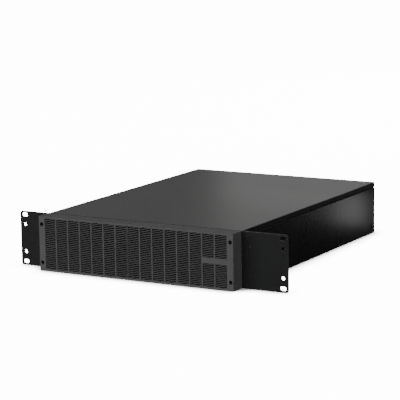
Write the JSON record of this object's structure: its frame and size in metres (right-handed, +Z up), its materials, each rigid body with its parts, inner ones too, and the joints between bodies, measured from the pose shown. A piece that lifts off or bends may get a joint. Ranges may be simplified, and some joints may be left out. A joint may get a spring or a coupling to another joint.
{
  "type": "rack-mount uninterruptible power supply",
  "caption": "Shallow black rack-mount uninterruptible power supply with slotted ears, a deep two-part grille bezel, a pull-out battery drawer and rear power sockets.",
  "frame": {"origin": "centre of the footprint of the whole unit, at its underside", "axes": "-Y is the front with the bezel, +Y the rear with the sockets, +X to the right seen from the front, +Z up"},
  "size_m": [0.4826, 0.515, 0.088],
  "materials": {
    "black_paint": "satin black powder coat",
    "ear_paint": "satin black powder coat",
    "bezel_plastic": "fine moulded texture",
    "black_plastic": "plain moulded",
    "zinc_steel": "zinc plated",
    "dark_steel": "black oxide",
    "aluminium": "extruded",
    "board_green": "solder mask",
    "battery_case": "moulded",
    "copper_winding": "enamelled copper wire",
    "cable_red": "insulation",
    "capacitor_sleeve": "shrink sleeve"
  },
  "bodies": {
    "chassis": {"chassis_base": "black_paint", "top_cover": "black_paint", "front_frame": "black_paint", "bay_divider": "zinc_steel", "rear_panel": "black_paint", "rack_ear_left": "ear_paint", "rack_ear_right": "ear_paint", "ear_screw_left_1": "dark_steel", "ear_screw_left_2": "dark_steel", "ear_screw_left_3": "dark_steel", "ear_screw_right_1": "dark_steel", "ear_screw_right_2": "dark_steel", "ear_screw_right_3": "dark_steel", "case_screw_left": "dark_steel", "case_screw_right": "dark_steel", "battery_socket": "black_plastic", "power_board": "board_green", "control_board": "board_green", "heatsink_1": "aluminium", "heatsink_2": "aluminium", "bus_capacitor_1": "capacitor_sleeve", "bus_capacitor_2": "capacitor_sleeve", "charger_transformer": "dark_steel", "toroid_choke_1": "copper_winding", "toroid_choke_2": "copper_winding", "fan_frame_1": "black_plastic", "fan_frame_2": "black_plastic", "fan_guard_1": "zinc_steel", "fan_guard_2": "zinc_steel", "power_inlet": "black_plastic", "outlet_bank": "black_plastic", "switch_housing": "black_plastic", "breaker_body": "black_plastic", "slot_cover": "black_paint", "slot_thumbscrew_1": "zinc_steel", "slot_thumbscrew_2": "zinc_steel", "port_block": "dark_steel", "expansion_connector": "cable_red", "ground_stud": "zinc_steel"},
    "battery_drawer": {"battery_tray": "zinc_steel", "battery_1": "battery_case", "battery_2": "battery_case", "battery_3": "battery_case", "battery_link_1": "cable_red", "battery_link_2": "cable_red", "battery_lead_plus": "cable_red", "battery_lead_minus": "cable_red", "battery_plug": "black_plastic"},
    "drawer_bail": {"drawer_handle": "zinc_steel"},
    "bezel_right_panel": {"bezel_right": "bezel_plastic", "bezel_screw_right_1": "dark_steel", "bezel_screw_right_2": "dark_steel"},
    "bezel_left_panel": {"bezel_left": "bezel_plastic", "bezel_screw_left_1": "dark_steel", "bezel_screw_left_2": "dark_steel"},
    "fan_1": {"fan_rotor_1": "black_plastic"},
    "fan_2": {"fan_rotor_2": "black_plastic"},
    "rocker": {"switch_rocker": "black_plastic"},
    "reset_button": {"breaker_button": "cable_red"}
  },
  "joints": [
    {"name": "battery_drawer_slide", "type": "slide", "parent": "chassis", "child": "battery_drawer", "axis": [0, -1, 0], "range_m": [0, 0.3]},
    {"name": "bezel_right_pull", "type": "slide", "parent": "battery_drawer", "child": "bezel_right_panel", "axis": [0, -1, 0], "range_m": [0, 0.04]},
    {"name": "bezel_left_pull", "type": "slide", "parent": "chassis", "child": "bezel_left_panel", "axis": [0, -1, 0], "range_m": [0, 0.04]},
    {"name": "drawer_handle_swing", "type": "hinge", "parent": "battery_drawer", "child": "drawer_bail", "pos_m": [0.0718, -0.2201, 0.062], "axis": [-1, 0, 0], "range_deg": [0, 90]},
    {"name": "fan_1_spin", "type": "hinge", "parent": "chassis", "child": "fan_1", "pos_m": [-0.1447, 0.234, 0.044], "axis": [0, 1, 0], "continuous": true},
    {"name": "fan_2_spin", "type": "hinge", "parent": "chassis", "child": "fan_2", "pos_m": [-0.0697, 0.234, 0.044], "axis": [0, 1, 0], "continuous": true},
    {"name": "power_rocker_tilt", "type": "hinge", "parent": "chassis", "child": "rocker", "pos_m": [0.1463, 0.2478, 0.066], "axis": [1, 0, 0], "range_deg": [0, 18]},
    {"name": "breaker_button_pop", "type": "slide", "parent": "chassis", "child": "reset_button", "axis": [0, 1, 0], "range_m": [0, 0.003]}
  ]
}
